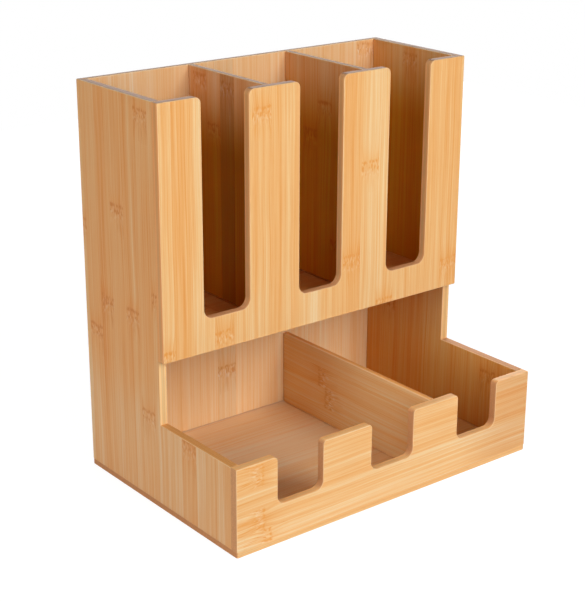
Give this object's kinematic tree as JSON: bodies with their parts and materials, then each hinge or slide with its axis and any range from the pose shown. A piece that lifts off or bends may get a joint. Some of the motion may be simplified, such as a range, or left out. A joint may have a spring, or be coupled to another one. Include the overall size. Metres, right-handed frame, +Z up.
{
  "type": "cup and sachet holder",
  "caption": "Bamboo counter-top holder with tall slotted compartments for stacked cups, above a divided tray with finger notches for sachets and stirrers.",
  "frame": {"origin": "middle of the underside of the base, where the holder stands on the table", "axes": "+Z up; the open front with the slots and notches faces -Y; +X to the right for someone who stands in front of it"},
  "size_m": [0.3, 0.2, 0.32],
  "materials": {
    "front_bamboo": "satin clear lacquer on light natural bamboo, fine straight grain",
    "side_bamboo": "satin clear lacquer on natural bamboo, upright grain",
    "inner_bamboo": "satin clear lacquer on natural bamboo",
    "base_bamboo": "satin clear lacquer on natural bamboo, grain across the holder",
    "dowel_bamboo": "bare, glued in"
  },
  "bodies": {
    "root": {"left_side_panel": "side_bamboo", "right_side_panel": "side_bamboo", "back_panel": "inner_bamboo", "cup_front_panel": "front_bamboo", "tray_front_panel": "front_bamboo", "cup_shelf": "inner_bamboo", "base_panel": "base_bamboo", "left_cup_divider": "inner_bamboo", "right_cup_divider": "inner_bamboo", "tray_divider": "inner_bamboo", "left_cup_front_dowel_1": "dowel_bamboo", "left_cup_front_dowel_2": "dowel_bamboo", "left_cup_front_dowel_3": "dowel_bamboo", "right_cup_front_dowel_1": "dowel_bamboo", "right_cup_front_dowel_2": "dowel_bamboo", "right_cup_front_dowel_3": "dowel_bamboo", "left_tray_front_dowel_1": "dowel_bamboo", "left_tray_front_dowel_2": "dowel_bamboo", "right_tray_front_dowel_1": "dowel_bamboo", "right_tray_front_dowel_2": "dowel_bamboo", "left_base_dowel_1": "dowel_bamboo", "left_base_dowel_2": "dowel_bamboo", "left_base_dowel_3": "dowel_bamboo", "right_base_dowel_1": "dowel_bamboo", "right_base_dowel_2": "dowel_bamboo", "right_base_dowel_3": "dowel_bamboo", "front_base_dowel_1": "dowel_bamboo", "front_base_dowel_2": "dowel_bamboo", "front_base_dowel_3": "dowel_bamboo"}
  },
  "joints": []
}
